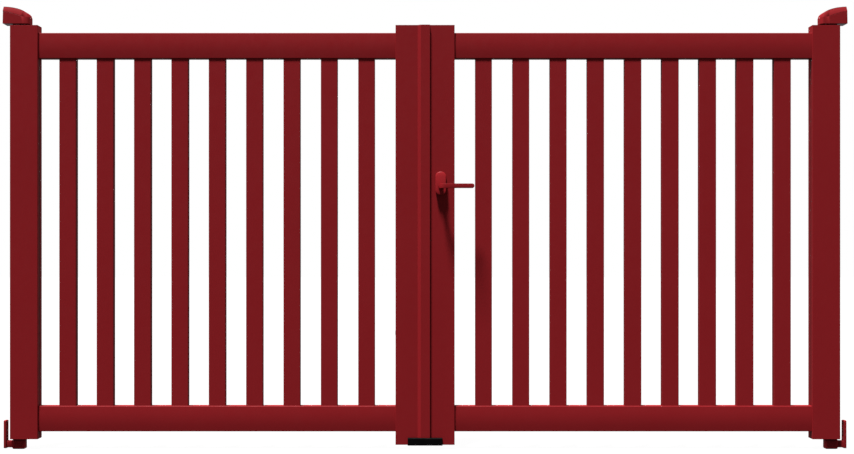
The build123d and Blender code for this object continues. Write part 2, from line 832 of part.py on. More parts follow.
with BuildPart() as drop_bolt_guides:
    guide_front = stile_front + guide_base
    for level in guide_middles:
        with BuildSketch(Plane.XZ.offset(-stile_front)):
            with Locations((LEFT * stile_centre, level)):
                Rectangle(guide_width, guide_height)
            with Locations((LEFT * stile_centre, level)):
                with GridLocations(guide_screw_spacing, 0, 2, 1):
                    Circle(screw_radius + slip, mode=Mode.SUBTRACT)
        extrude(amount=-guide_base)
        with BuildSketch(Plane.XY.offset(level - guide_height / 2)):
            with Locations((LEFT * stile_centre, (guide_front + rod_y) / 2)):
                Rectangle(guide_block, rod_y - guide_front)
            with Locations((LEFT * stile_centre, rod_y)):
                Circle(guide_block / 2)
        extrude(amount=guide_height)
        with BuildSketch(Plane.XY.offset(level - guide_height / 2)):
            with Locations((LEFT * stile_centre, rod_y)):
                Circle(rod_radius + slip)
        extrude(amount=guide_height, mode=Mode.SUBTRACT)
finish(drop_bolt_guides, "drop_bolt_guides")

with BuildPart() as guide_screws:
    above = (Align.CENTER, Align.CENTER, Align.MIN)
    below = (Align.CENTER, Align.CENTER, Align.MAX)
    for x, level in guide_screw_places:
        with Locations(Plane(origin=(x, guide_front, level), z_dir=(0, 1, 0))):
            Cylinder(screw_head_radius, screw_radius, align=above)
            Cylinder(screw_radius, screw_length, align=below)
finish(guide_screws, "guide_screws")

with BuildPart() as drop_bolt:
    with BuildSketch(Plane.XY.offset(rod_foot)):
        with Locations((LEFT * stile_centre, rod_y)):
            Circle(nose_radius)
    extrude(amount=nose_length)
    chamfer(drop_bolt.faces().sort_by(Axis.Z)[0].edges(), nose_edge)
    with BuildSketch(Plane.XY.offset(rod_foot + nose_length)):
        with Locations((LEFT * stile_centre, rod_y)):
            Circle(rod_radius)
    extrude(amount=rod_length - nose_length)
    with BuildSketch(Plane.YZ.offset(LEFT * (stile_centre + grip_length))):
        with Locations((rod_y, grip_z)):
            Circle(grip_radius)
    extrude(amount=grip_length)
    with BuildSketch(Plane.YZ.offset(LEFT * (stile_centre + grip_length + knob_length / 2))):
        with Locations((rod_y, grip_z)):
            Circle(knob_radius)
    extrude(amount=knob_length)
    rims = drop_bolt.edges().filter_by(GeomType.CIRCLE)
    fillet(rims.filter_by(lambda rim: abs(rim.radius - knob_radius) < slip), knob_edge)
finish(drop_bolt, "drop_bolt")
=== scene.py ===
"""Looks of a double-leaf slatted driveway gate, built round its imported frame.

Metres. X runs across the opening, -Y faces the street and +Z is up. Every piece is made
in place, so that its object stays at the origin.
"""

import sys

import logging
import math
from collections.abc import Callable, Iterator
from contextlib import contextmanager
from dataclasses import dataclass
from enum import Enum

import bmesh
import bpy
from mathutils import Matrix, Vector


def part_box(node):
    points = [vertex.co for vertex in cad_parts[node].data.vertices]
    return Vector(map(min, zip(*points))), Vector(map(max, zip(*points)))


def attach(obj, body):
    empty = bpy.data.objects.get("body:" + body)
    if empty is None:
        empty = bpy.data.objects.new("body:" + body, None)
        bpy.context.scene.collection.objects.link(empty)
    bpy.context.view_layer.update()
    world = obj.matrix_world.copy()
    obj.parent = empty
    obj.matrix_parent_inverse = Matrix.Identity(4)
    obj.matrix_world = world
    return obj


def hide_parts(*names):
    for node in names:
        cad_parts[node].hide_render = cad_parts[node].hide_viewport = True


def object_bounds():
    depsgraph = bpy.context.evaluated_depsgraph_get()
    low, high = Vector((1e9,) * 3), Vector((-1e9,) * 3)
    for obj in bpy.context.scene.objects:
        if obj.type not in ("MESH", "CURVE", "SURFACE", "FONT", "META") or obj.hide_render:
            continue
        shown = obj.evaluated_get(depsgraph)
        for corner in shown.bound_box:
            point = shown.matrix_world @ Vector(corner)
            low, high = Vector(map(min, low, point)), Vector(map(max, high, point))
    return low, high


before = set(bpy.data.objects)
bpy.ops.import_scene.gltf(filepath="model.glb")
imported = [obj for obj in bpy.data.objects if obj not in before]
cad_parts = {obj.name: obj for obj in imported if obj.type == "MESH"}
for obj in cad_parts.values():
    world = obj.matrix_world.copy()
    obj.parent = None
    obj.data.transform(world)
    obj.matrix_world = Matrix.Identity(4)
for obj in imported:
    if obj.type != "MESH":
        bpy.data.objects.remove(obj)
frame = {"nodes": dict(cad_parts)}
cad_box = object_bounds()
log = logging.getLogger("gate")

Piece = bpy.types.Object
Socket = bpy.types.NodeSocket
TINY = 1e-5
SHANK_RADIUS = 0.0025
PLATE_SCREW_HEAD = 0.0025  # height of the handle screws' heads


class Side(Enum):
    """Which pillar a fitting belongs to, as seen from the street."""

    LEFT = -1
    RIGHT = 1

    @property
    def word(self) -> str:
        """The side's name as it stands in the names of the pieces."""
        return self.name.lower()


class Face(Enum):
    """Which face of the leaf a fitting stands on."""

    FRONT = -1
    BACK = 1

    @property
    def word(self) -> str:
        """The face's name as it stands in the names of the pieces."""
        return self.name.lower()

    @property
    def outward(self) -> Vector:
        """Direction away from the leaf."""
        return Vector((0, self.value, 0))


# ------------------------------------------------------------------ finishes


class NodeBoard:
    """The node tree of one material, wired up by short calls."""

    edge_span = (0.82, 0.99)  # agreement of flat and rounded normals, from edge to flat
    full_span = (0.0, 1.0)
    cloud_span = (0.45, 0.75)

    def __init__(self, name: str) -> None:
        """Start a material with its shader and its object coordinates.

        Args:
            name: The material's name.
        """
        self.material = bpy.data.materials.new(name)
        self.material.use_nodes = True
        tree = self.material.node_tree
        self.nodes, self.links = tree.nodes, tree.links
        self.shader = self.nodes["Principled BSDF"]
        self.place = self.nodes.new("ShaderNodeTexCoord").outputs["Object"]

    def set(self, **values: float) -> None:
        """Set plain values on the shader, by socket name with underscores for spaces."""
        for name, value in values.items():
            self.shader.inputs[name.replace("_", " ")].default_value = value

    def feed(self, name: str, source: Socket) -> None:
        """Link a source to one of the shader's sockets."""
        self.links.new(source, self.shader.inputs[name])

    def noise(self, scale: float, detail: float = 2.0, stretch: tuple = (1, 1, 1)) -> Socket:
        """Noise over the piece.

        Args:
            scale: Features per metre.
            detail: Finer layers added.
            stretch: Scale of the pattern along each axis.

        Returns:
            The noise value, about 0.5 on average.
        """
        mapping = self.nodes.new("ShaderNodeMapping")
        mapping.inputs["Scale"].default_value = stretch
        self.links.new(self.place, mapping.inputs["Vector"])
        noise = self.nodes.new("ShaderNodeTexNoise")
        noise.inputs["Scale"].default_value = scale
        noise.inputs["Detail"].default_value = detail
        self.links.new(mapping.outputs["Vector"], noise.inputs["Vector"])
        return noise.outputs["Fac"]

    def cells(self, scale: float) -> Socket:
        """Flat-toned crystal cells, such as zinc shows.

        Args:
            scale: Cells per metre.

        Returns:
            A grey tone for each cell.
        """
        cells = self.nodes.new("ShaderNodeTexVoronoi")
        cells.inputs["Scale"].default_value = scale
        self.links.new(self.place, cells.inputs["Vector"])
        grey = self.nodes.new("ShaderNodeSeparateColor")
        self.links.new(cells.outputs["Color"], grey.inputs["Color"])
        return grey.outputs["Red"]

    def spread(self, source: Socket, low: float, high: float, spans: tuple = (0.3, 0.7)) -> Socket:
        """Stretch a source's span to a new range.

        Args:
            source: The value to stretch.
            low: Result at the start of the span.
            high: Result at its end.
            spans: The source values taken as start and end.

        Returns:
            The stretched value.
        """
        ranged = self.nodes.new("ShaderNodeMapRange")
        ranged.inputs["From Min"].default_value = spans[0]
        ranged.inputs["From Max"].default_value = spans[1]
        ranged.inputs["To Min"].default_value = low
        ranged.inputs["To Max"].default_value = high
        self.links.new(source, ranged.inputs["Value"])
        return ranged.outputs["Result"]

    def blend(self, factor: Socket, first: tuple | Socket, second: tuple | Socket) -> Socket:
        """Mix two colours.

        Args:
            factor: 0 for the first colour, 1 for the second.
            first: A colour or a source of colour.
            second: A colour or a source of colour.

        Returns:
            The mixed colour.
        """
        mix = self.nodes.new("ShaderNodeMix")
        mix.data_type = "RGBA"
        self.links.new(factor, mix.inputs["Factor"])
        for socket, colour in ((mix.inputs[6], first), (mix.inputs[7], second)):
            if isinstance(colour, tuple):
                socket.default_value = (*colour, 1.0)
            else:
                self.links.new(colour, socket)
        return mix.outputs[2]

    def edges(self, width: float) -> tuple[Socket, Socket]:
        """Find the piece's edges.

        Args:
            width: How far from the edge the effect reaches.

        Returns:
            The rounded normal, and a mask that is 1 on the edges.
        """
        rounding = self.nodes.new("ShaderNodeBevel")
        rounding.samples = 4
        rounding.inputs["Radius"].default_value = width
        flat = self.nodes.new("ShaderNodeNewGeometry").outputs["Normal"]
        compare = self.nodes.new("ShaderNodeVectorMath")
        compare.operation = "DOT_PRODUCT"
        self.links.new(rounding.outputs["Normal"], compare.inputs[0])
        self.links.new(flat, compare.inputs[1])
        mask = self.spread(compare.outputs["Value"], 1.0, 0.0, self.edge_span)
        return rounding.outputs["Normal"], mask

    def wear(self, mask: Socket, share: float, film: Socket, worn: tuple) -> None:
        """Colour the shader with a film that wears through towards the edges.

        Args:
            mask: 1 on the edges.
            share: How much of the worn colour shows on an edge.
            film: Colour away from the edges.
            worn: Colour of the worn edge.
        """
        worn_share = self.spread(mask, 0.0, share, self.full_span)
        self.feed("Base Color", self.blend(worn_share, film, worn))

    def bump(self, height: Socket, depth: float, normal: Socket | None = None) -> Socket:
        """Raise the surface by a height.

        Args:
            height: 0 to 1.
            depth: Height of the relief in metres.
            normal: A normal to start from.

        Returns:
            The bumped normal.
        """
        bump = self.nodes.new("ShaderNodeBump")
        bump.inputs["Distance"].default_value = depth
        self.links.new(height, bump.inputs["Height"])
        if normal is not None:
            self.links.new(normal, bump.inputs["Normal"])
        return bump.outputs["Normal"]


@dataclass(frozen=True)
class PowderCoat:
    """Satin powder coat: a baked film with a fine orange peel, thin on sharp edges."""

    name: str
    colour: tuple = (0.186, 0.0088, 0.0114)
    deep: tuple = (0.176, 0.0081, 0.0105)
    thin: tuple = (0.198, 0.0105, 0.0135)
    gloss: tuple = (0.40, 0.52)
    peel_per_metre: float = 520.0
    peel_depth: float = 0.00003
    grain_per_metre: float = 2600.0
    grain_depth: float = 0.000006
    edge: float = 0.0009

    def make(self) -> bpy.types.Material:
        """Build the material."""
        board = NodeBoard(self.name)
        board.set(Specular_IOR_Level=0.08)
        rounded, mask = board.edges(self.edge)
        drift = board.spread(board.noise(3.0, 3.0), 0.0, 1.0)
        speck = board.spread(board.noise(1400.0, 1.0), 0.0, 0.5)
        film = board.blend(speck, board.blend(drift, self.deep, self.colour), self.colour)
        board.wear(mask, 0.55, film, self.thin)
        board.feed("Roughness", board.spread(board.noise(38.0, 4.0), *self.gloss))
        peel = board.bump(board.noise(self.peel_per_metre, 1.0), self.peel_depth, rounded)
        board.feed("Normal", board.bump(board.noise(self.grain_per_metre), self.grain_depth, peel))
        return board.material


@dataclass(frozen=True)
class MouldedNylon:
    """Black moulded nylon with a spark-eroded grain, scuffed on its edges."""

    name: str
    colour: tuple = (0.0008, 0.0007, 0.0007)
    dusty: tuple = (0.0020, 0.0018, 0.0018)
    scuffed: tuple = (0.006, 0.0055, 0.0055)
    gloss: tuple = (0.5, 0.66)
    grain_per_metre: float = 1500.0
    grain_depth: float = 0.00002
    edge: float = 0.0007

    def make(self) -> bpy.types.Material:
        """Build the material."""
        board = NodeBoard(self.name)
        board.set(Specular_IOR_Level=0.04)
        rounded, mask = board.edges(self.edge)
        dust = board.spread(board.noise(24.0, 4.0), 0.0, 0.7, board.cloud_span)
        film = board.blend(dust, self.colour, self.dusty)
        board.wear(mask, 0.5, film, self.scuffed)
        board.feed("Roughness", board.spread(board.noise(90.0, 3.0), *self.gloss))
        board.feed("Normal", board.bump(board.noise(self.grain_per_metre), self.grain_depth, rounded))
        return board.material


@dataclass(frozen=True)
class DrawnSteel:
    """Bare stainless steel, brushed or drawn along Z, or turned."""

    name: str
    colour: tuple
    dull: tuple
    gloss: tuple
    lines_per_metre: float
    stretch: tuple
    line_depth: float = 0.000008
    edge: float = 0.0004

    def make(self) -> bpy.types.Material:
        """Build the material."""
        board = NodeBoard(self.name)
        board.set(Metallic=1.0)
        rounded, mask = board.edges(self.edge)
        lines = board.noise(self.lines_per_metre, 3.0, self.stretch)
        tone = board.blend(board.spread(lines, 0.0, 1.0), self.dull, self.colour)
        bright = tuple(min(1.0, 1.25 * part) for part in self.colour)
        board.wear(mask, 0.6, tone, bright)
        board.feed("Roughness", board.spread(board.noise(60.0, 3.0), *self.gloss))
        board.feed("Normal", board.bump(lines, self.line_depth, rounded))
        return board.material


@dataclass(frozen=True)
class ZincPlate:
    """Galvanised steel with small dull crystals and a cloudy bloom."""

    name: str
    colour: tuple = (0.50, 0.51, 0.52)
    dull: tuple = (0.36, 0.37, 0.385)
    bloom: tuple = (0.58, 0.585, 0.59)
    gloss: tuple = (0.38, 0.56)
    cells_per_metre: float = 190.0
    pitting_per_metre: float = 420.0
    pitting_depth: float = 0.00003
    edge: float = 0.0006

    def make(self) -> bpy.types.Material:
        """Build the material."""
        board = NodeBoard(self.name)
        board.set(Metallic=0.9)
        rounded, _ = board.edges(self.edge)
        cells = board.cells(self.cells_per_metre)
        tone = board.blend(cells, self.dull, self.colour)
        cloud = board.spread(board.noise(18.0, 5.0), 0.0, 0.6, board.cloud_span)
        board.feed("Base Color", board.blend(cloud, tone, self.bloom))
        board.feed("Roughness", board.spread(board.noise(140.0, 3.0), *self.gloss))
        pitting = board.noise(self.pitting_per_metre, 3.0)
        board.feed("Normal", board.bump(pitting, self.pitting_depth, rounded))
        return board.material


class FinishShop:
    """Keeps one material for each of the record's slots."""

    def __init__(self) -> None:
        """Mix every finish of the gate."""
        drawn = (1.0, 1.0, 0.04)
        mixed = (
            PowderCoat("powder_coat"),
            PowderCoat("coated_handle", gloss=(0.30, 0.42), peel_depth=0.00002),
            MouldedNylon("black_nylon"),
            DrawnSteel(
                "stainless_steel", (0.56, 0.56, 0.57), (0.46, 0.46, 0.47), (0.24, 0.38), 900.0, drawn
            ),
            DrawnSteel(
                "screw_steel", (0.50, 0.50, 0.51), (0.40, 0.40, 0.41), (0.22, 0.34), 1500.0, (1, 1, 1)
            ),
            ZincPlate("galvanised_steel"),
        )
        self.materials = {finish.name: finish.make() for finish in mixed}

    def dress(self, piece: Piece, slot: str) -> None:
        """Give a new piece the finish of a slot, all over."""
        piece.data.materials.clear()
        piece.data.materials.append(self.materials[slot])

    def dress_carried(self, nodes: dict[str, Piece]) -> None:
        """Swap each carried-over node's plain materials for the mixed ones."""
        for node in nodes.values():
            for place in node.material_slots:
                place.material = self.materials[place.material.name.split(".")[0]]
            log.info("dressed %s", node.name)


# --------------------------------------------------------------------- bench


class Bench:
    """The modelling operators, worked on one piece at a time."""

    @staticmethod
    def take(piece: Piece | None) -> None:
        """Deselect everything, then select one piece if one is given."""
        bpy.ops.object.select_all(action="DESELECT")
        if piece is not None:
            piece.select_set(True)
            bpy.context.view_layer.objects.active = piece

    @staticmethod
    def settle(name: str) -> Piece:
        """Name the piece just added, and write its place, turn and scale into its mesh."""
        piece = bpy.context.active_object
        piece.name = piece.data.name = name
        Bench.take(piece)
        bpy.ops.object.transform_apply(location=True, rotation=True, scale=True)
        return piece

    @staticmethod
    def block(name: str, corner: Vector, opposite: Vector) -> Piece:
        """Add a block between two opposite corners."""
        Bench.take(None)
        middle, size = (corner + opposite) / 2, opposite - corner
        bpy.ops.mesh.primitive_cube_add(size=1, location=middle)
        bpy.context.active_object.scale = [abs(part) for part in size]
        return Bench.settle(name)

    @staticmethod
    def bar(name: str, radius: float, start: Vector, end: Vector, sides: int = 40) -> Piece:
        """Add a round or many-sided bar from one point to another."""
        Bench.take(None)
        run = end - start
        turn = run.to_track_quat("Z", "Y").to_euler()
        bpy.ops.mesh.primitive_cylinder_add(
            vertices=sides, radius=radius, depth=run.length, location=(start + end) / 2, rotation=turn
        )
        return Bench.settle(name)

    @staticmethod
    def ring(name: str, radius: float, middle: Vector, direction: Vector, sides: int) -> Piece:
        """Add an open ring of edges that faces a direction."""
        Bench.take(None)
        turn = direction.to_track_quat("Z", "Y").to_euler()
        bpy.ops.mesh.primitive_circle_add(
            vertices=sides, radius=radius, fill_type="NOTHING", location=middle, rotation=turn
        )
        return Bench.settle(name)

    @staticmethod
    @contextmanager
    def editing(piece: Piece) -> Iterator[None]:
        """Hold a piece in edit mode, with nothing selected at the start."""
        Bench.take(piece)
        bpy.ops.object.mode_set(mode="EDIT")
        bpy.ops.mesh.select_all(action="DESELECT")
        yield
        bpy.ops.object.mode_set(mode="OBJECT")

    @staticmethod
    def pick(piece: Piece, kind: str, test: Callable) -> int:
        """Select what passes a test, and nothing else.

        Args:
            piece: The piece in edit mode.
            kind: VERT, EDGE or FACE.
            test: Takes a vertex, edge or face and says whether it is wanted.

        Returns:
            How many were selected.
        """
        bpy.ops.mesh.select_mode(type=kind)
        bpy.ops.mesh.select_all(action="DESELECT")
        mesh = bmesh.from_edit_mesh(piece.data)
        mesh.normal_update()
        items = {"VERT": mesh.verts, "EDGE": mesh.edges, "FACE": mesh.faces}[kind]
        items.ensure_lookup_table()
        chosen = [item for item in items if test(item)]
        for item in chosen:
            item.select_set(True)
        bmesh.update_edit_mesh(piece.data)
        return len(chosen)

    @staticmethod
    def pick_facing(piece: Piece, direction: Vector, least: float = 0.98) -> int:
        """Select the faces that point in a direction."""
        return Bench.pick(piece, "FACE", lambda face: face.normal.dot(direction) > least)

    @staticmethod
    def pull(step: Vector) -> None:
        """Extrude the selection by a step."""
        bpy.ops.mesh.extrude_region_move(TRANSFORM_OT_translate={"value": tuple(step)})

    @staticmethod
    def scale(factors: tuple, middle: Vector) -> None:
        """Scale the selection about a point."""
        bpy.ops.transform.resize(value=factors, center_override=tuple(middle))

    @staticmethod
    def warp(piece: Piece, key: Callable[[Vector], float], step: Callable[[float], Vector]) -> None:
        """Move the selected points, those that share a number together.

        Args:
            piece: The piece in edit mode.
            key: Takes a point's place and gives its number.
            step: Takes the number and gives the move.
        """
        for number, group in Bench.stations(piece, key):
            Bench.pick(piece, "VERT", lambda vert: vert.index in group)
            bpy.ops.transform.translate(value=step(number))

    @staticmethod
    def stations(piece: Piece, key: Callable[[Vector], float]) -> list[tuple[float, dict]]:
        """Group the selected points by a number, to a tenth of a millimetre.

        Args:
            piece: The piece in edit mode.
            key: Takes a point's place and gives its number.

        Returns:
            Each number with the heights of its points by index, in rising order.
        """
        groups: dict[float, dict[int, float]] = {}
        for vert in bmesh.from_edit_mesh(piece.data).verts:
            if vert.select:
                groups.setdefault(round(key(vert.co), 4), {})[vert.index] = vert.co.z
        return sorted(groups.items())

    @staticmethod
    def close(piece: Piece) -> None:
        """Merge doubles, fill open ends and turn the faces outward."""
        with Bench.editing(piece):
            bpy.ops.mesh.select_all(action="SELECT")
            bpy.ops.mesh.remove_doubles(threshold=TINY)
            bpy.ops.mesh.fill_holes(sides=0)
            bpy.ops.mesh.select_all(action="SELECT")
            bpy.ops.mesh.normals_make_consistent(inside=False)

    @staticmethod
    def turned(name: str, start: Vector, direction: Vector, profile: list, sides: int = 40) -> Piece:
        """Turn a round piece on an axis, ring by ring.

        Args:
            name: The piece's name.
            start: Where the axis starts.
            direction: Where it points.
            profile: Distance along the axis and radius of each ring.
            sides: Edges in a ring.

        Returns:
            The closed piece.
        """
        along, radius = profile[0]
        piece = Bench.ring(name, radius, start + direction * along, direction, sides)
        with Bench.editing(piece):
            bpy.ops.mesh.select_all(action="SELECT")
            for next_along, next_radius in profile[1:]:
                Bench.pull(direction * (next_along - along))
                factor = next_radius / radius
                Bench.scale((factor,) * 3, start + direction * next_along)
                along, radius = next_along, next_radius
        Bench.close(piece)
        return piece

    @staticmethod
    def modify(piece: Piece, kind: str, **settings: object) -> None:
        """Add a modifier with its settings and apply it."""
        Bench.take(piece)
        modifier = piece.modifiers.new(kind.title(), kind)
        for name, value in settings.items():
            setattr(modifier, name, value)
        bpy.ops.object.modifier_apply(modifier=modifier.name)

    @staticmethod
    def carve(piece: Piece, tool: Piece, operation: str = "DIFFERENCE") -> None:
        """Cut a tool out of a piece, or weld it on, and put the tool away."""
        Bench.modify(piece, "BOOLEAN", object=tool, operation=operation, solver="EXACT")
        bpy.data.objects.remove(tool)

    @staticmethod
    def ease(piece: Piece, width: float, segments: int = 2, angle: float = 35.0) -> None:
        """Round every edge that is sharper than an angle in degrees."""
        Bench.modify(
            piece,
            "BEVEL",
            width=width,
            segments=segments,
            limit_method="ANGLE",
            angle_limit=math.radians(angle),
            use_clamp_overlap=True,
        )

    @staticmethod
    def eased_copy(node: str, width: float) -> Piece:
        """Copy a carried-over node, merge its loose triangles and round its edges.

        Args:
            node: The node that is copied and then hidden.
            width: Width of the rounding.

        Returns:
            The copy, under a name of its own.
        """
        source = frame["nodes"][node]
        data = source.data.copy()
        piece = bpy.data.objects.new(f"{node}_eased", data)
        bpy.context.scene.collection.objects.link(piece)
        Bench.take(piece)
        bpy.ops.mesh.customdata_custom_splitnormals_clear()
        with Bench.editing(piece):
            bpy.ops.mesh.select_all(action="SELECT")
            bpy.ops.mesh.remove_doubles(threshold=TINY)
            bpy.ops.mesh.dissolve_limited(angle_limit=math.radians(0.5))
        Bench.ease(piece, width)
        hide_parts(node)
        return piece

    @staticmethod
    def hand_over(piece: Piece, body: str, angle: float = 32.0) -> None:
        """Smooth a finished piece up to an angle and hang it on its body."""
        Bench.take(piece)
        bpy.ops.object.shade_smooth_by_angle(angle=math.radians(angle))
        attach(piece, body)
        log.info("%s: %d faces, on %s", piece.name, len(piece.data.polygons), body)


# ---------------------------------------------------------------- hinge covers


@dataclass
class HingeCover:
    """Cap over a top hinge, with a domed lid, open underneath and towards the pillar."""

    side: Side
    finishes: FinishShop
    wall: float = 0.0025
    nose_corner: float = 0.0105  # upright edges at the free end
    nose_height: float = 0.0230  # straight wall at the free end
    wall_rise: float = 0.0203  # further rise of the wall towards the pillar
    lid_spring: float = 0.0220  # level from which the lid's curve rises
    rim_inset: float = 0.0030  # lean of the bevelled band round the lid
    lid_edge: float = 0.0010
    edge_end: float = 0.86  # share of the length up to which the lid's edge is rounded
    seam: float = 0.0006
    seam_depth: float = 0.0010
    nose_steps: int = 7
    straight_steps: int = 12
    seam_end: float = 0.60  # share of the length at which the seam starts to fade
    seam_fade: float = 0.80
    reach: float = 0.0004  # how near to a line a point has to be to belong to it
    cut_play: float = 0.00002

    def __post_init__(self) -> None:
        """Take the cover's place and size from its node."""
        self.node = f"{self.side.word}_top_hinge_cover"
        self.low, self.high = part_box(self.node)
        self.pillar = self.low.x if self.side is Side.LEFT else self.high.x
        self.length, self.height = self.high.x - self.low.x, self.high.z - self.low.z
        self.foot, self.half_depth = self.low.z, (self.high.y - self.low.y) / 2

    def share(self, x: float) -> float:
        """Distance from the pillar as a share of the cover's length."""
        return min(1.0, abs(x - self.pillar) / self.length)

    def wall_level(self, x: float) -> float:
        """Top of the upright wall."""
        rise = self.wall_rise * math.cos(self.share(x) * math.pi / 2) ** 2
        return self.foot + self.nose_height + rise

    def lid_level(self, x: float) -> float:
        """Height of the lid, a quarter of an ellipse."""
        rise = self.height - self.lid_spring
        return self.foot + self.lid_spring + rise * math.sqrt(1 - self.share(x) ** 2)

    def lift(self, piece: Piece, level: Callable[[float], float]) -> set[int]:
        """Move the selected points to a level that depends on X, station by station.

        Args:
            piece: The piece in edit mode.
            level: Height wanted at an X.

        Returns:
            The indices of the points moved.
        """
        moved: set[int] = set()
        for station, group in Bench.stations(piece, lambda place: place.x):
            height = sum(group.values()) / len(group)
            Bench.pick(piece, "VERT", lambda vert: vert.index in group)
            bpy.ops.transform.translate(value=(0, 0, level(station) - height))
            moved |= set(group)
        return moved

    def outline(self) -> Piece:
        """Block with two rounded corners at its free end, cut across at each station."""
        top = Vector((self.high.x, self.high.y, self.foot + self.nose_height))
        piece = Bench.block(f"{self.side.word}_top_hinge_cap", self.low, top)
        nose = self.pillar - self.side.value * self.length
        with Bench.editing(piece):
            Bench.pick(
                piece,
                "EDGE",
                lambda e: all(abs(v.co.x - nose) < TINY for v in e.verts)
                and abs(e.verts[0].co.y - e.verts[1].co.y) < TINY,
            )
            bpy.ops.mesh.bevel(offset=self.nose_corner, segments=self.nose_steps)
            mesh = bmesh.from_edit_mesh(piece.data)
            rounded = {round(v.co.x, 5) for v in mesh.verts} - {round(self.pillar, 5), round(nose, 5)}
            span = self.length - self.nose_corner
            straight = {
                self.pillar - self.side.value * span * step / self.straight_steps
                for step in range(1, self.straight_steps)
            }
            for x in sorted(rounded | straight):
                if abs(abs(x - self.pillar) - self.length) < self.reach:
                    continue
                bpy.ops.mesh.select_all(action="SELECT")
                bpy.ops.mesh.bisect(plane_co=(x, 0, 0), plane_no=(1, 0, 0), threshold=self.cut_play)
        return piece

    def build(self) -> Piece:
        """Make the cap.

        Returns:
            The finished piece.
        """
        up, outer_end = Vector((0, 0, 1)), Vector((self.side.value, 0, 0))
        piece = self.outline()
        with Bench.editing(piece):
            top = self.foot + self.nose_height
            Bench.pick(piece, "VERT", lambda vert: abs(vert.co.z - top) < TINY)
            crown = self.lift(piece, self.wall_level)
            Bench.pick(piece, "FACE", lambda face: all(v.index in crown for v in face.verts))
            bpy.ops.mesh.region_to_loop()
            bpy.ops.mesh.mark_seam(clear=False)
            Bench.pick(piece, "FACE", lambda face: all(v.index in crown for v in face.verts))
            bpy.ops.mesh.inset(thickness=self.rim_inset, depth=0)
            lid = self.lift(piece, self.lid_level)
            Bench.pick(piece, "FACE", lambda face: all(v.index in lid for v in face.verts))
            bpy.ops.mesh.region_to_loop()
            bpy.ops.mesh.mark_sharp()
            Bench.pick(
                piece,
                "FACE",
                lambda face: face.normal.dot(up) < -0.9
                or (
                    face.normal.dot(outer_end) > 0.99
                    and abs(face.calc_center_median().x - self.pillar) < TINY
                ),
            )
            bpy.ops.mesh.delete(type="FACE")
        outer = len(piece.data.vertices)
        Bench.modify(piece, "SOLIDIFY", thickness=self.wall, offset=-1.0, use_even_offset=True)
        with Bench.editing(piece):
            self.cut_seam(piece, outer)
            bpy.ops.mesh.select_all(action="SELECT")
            bpy.ops.mesh.mark_seam(clear=True)
            bpy.ops.mesh.mark_sharp(clear=True)
            bpy.ops.mesh.normals_make_consistent(inside=False)
        self.finishes.dress(piece, "powder_coat")
        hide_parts(self.node)
        Bench.hand_over(piece, "pillar_fixings", 30.0)
        return piece

    def cut_seam(self, piece: Piece, outer: int) -> None:
        """Round the lid's edge, and press the fine seam under the band.

        Args:
            piece: The cap in edit mode.
            outer: Number of points on the outer skin, which come first.
        """

        def outside(edge: bmesh.types.BMEdge) -> bool:
            return all(vert.index < outer for vert in edge.verts)

        Bench.pick(piece, "EDGE", lambda edge: edge.seam and outside(edge))
        bpy.ops.mesh.bevel(offset=self.seam, segments=2)
        for start, end, depth in ((0.0, self.seam_end, 1.0), (self.seam_end, self.seam_fade, 0.4)):
            Bench.pick(
                piece,
                "VERT",
                lambda vert: abs(vert.co.z - self.wall_level(vert.co.x)) < 0.4 * self.seam
                and start <= self.share(vert.co.x) < end
                and self.on_outline(vert.co),
            )
            bpy.ops.transform.shrink_fatten(value=-depth * self.seam_depth)
        Bench.pick(
            piece,
            "EDGE",
            lambda edge: not edge.smooth
            and all(self.share(v.co.x) < self.edge_end for v in edge.verts)
            and all(abs(v.co.z - self.lid_level(v.co.x)) < self.reach for v in edge.verts),
        )
        bpy.ops.mesh.bevel(offset=self.lid_edge, segments=3)

    def on_outline(self, place: Vector) -> bool:
        """Say whether a point is on the cap's outer wall."""
        corner = self.nose_corner
        along = self.length - abs(place.x - self.pillar) - corner
        across = abs(place.y) - (self.half_depth - corner)
        if along < 0 < across:
            return math.hypot(along, across) > corner - self.reach
        on_side, on_end = across > corner - self.reach, along < self.reach - corner
        return on_side or on_end or self.share(place.x) < TINY


# ------------------------------------------------------------------- handles


